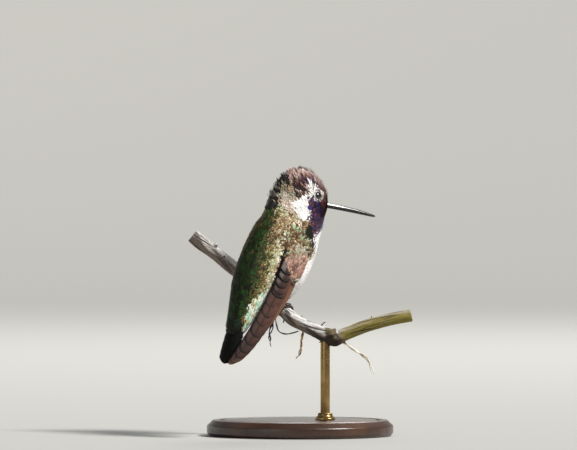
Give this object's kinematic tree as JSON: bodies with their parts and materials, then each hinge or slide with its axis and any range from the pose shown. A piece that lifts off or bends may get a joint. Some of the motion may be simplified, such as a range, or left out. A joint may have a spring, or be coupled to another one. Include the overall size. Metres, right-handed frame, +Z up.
{
  "type": "perched hummingbird museum model",
  "caption": "Life-size male Costa's hummingbird perched on a cut length of dead branch, held by a rod on a round wooden base.",
  "frame": {"origin": "middle of the underside of the stand's round base, which is the bottom centre of the whole model's box", "axes": "+Z up; +X towards the bill's side of the model, the way the bill points in plan within about 20 degrees; +Y is the way the bird's breast is turned, away from the side it is looked at from"},
  "size_m": [0.0718, 0.06, 0.0857],
  "materials": {
    "crown_feather": "iridescent maroon and violet feather",
    "neck_feather": "soft pale feather",
    "body_feather": "golden green feather with a metallic glint",
    "tail_feather": "green-black feather",
    "covert_feather": "green and bronze feather",
    "flight_feather": "dusky brown feather",
    "thigh_feather": "white down",
    "horn": "glossy black horn",
    "eye": "wet dark eye",
    "scale": "dark scaled skin",
    "bark": "weathered grey wood",
    "bast": "dry bark fibre",
    "base_wood": "waxed dark hardwood",
    "rod_brass": "satin bronzed brass"
  },
  "bodies": {
    "root": {"head": "crown_feather", "neck": "neck_feather", "trunk": "body_feather", "tail": "tail_feather", "bill_upper": "horn", "bill_lower": "horn", "eye_right": "eye", "eye_left": "eye", "wing_right_arm": "covert_feather", "wing_left_arm": "covert_feather", "wing_right_flight": "flight_feather", "wing_left_flight": "flight_feather", "leg_right": "thigh_feather", "leg_left": "thigh_feather", "foot_right": "scale", "foot_left": "scale", "claw_right_inner": "horn", "claw_right_middle": "horn", "claw_right_outer": "horn", "claw_right_hind": "horn", "claw_left_inner": "horn", "claw_left_middle": "horn", "claw_left_outer": "horn", "claw_left_hind": "horn", "perch_branch": "bark", "fibre_long": "bast", "fibre_peg": "bast", "fibre_twig": "bast", "fibre_strip": "bast", "stand_base": "base_wood", "stand_rod": "rod_brass", "stand_ferrule": "rod_brass"}
  },
  "joints": []
}
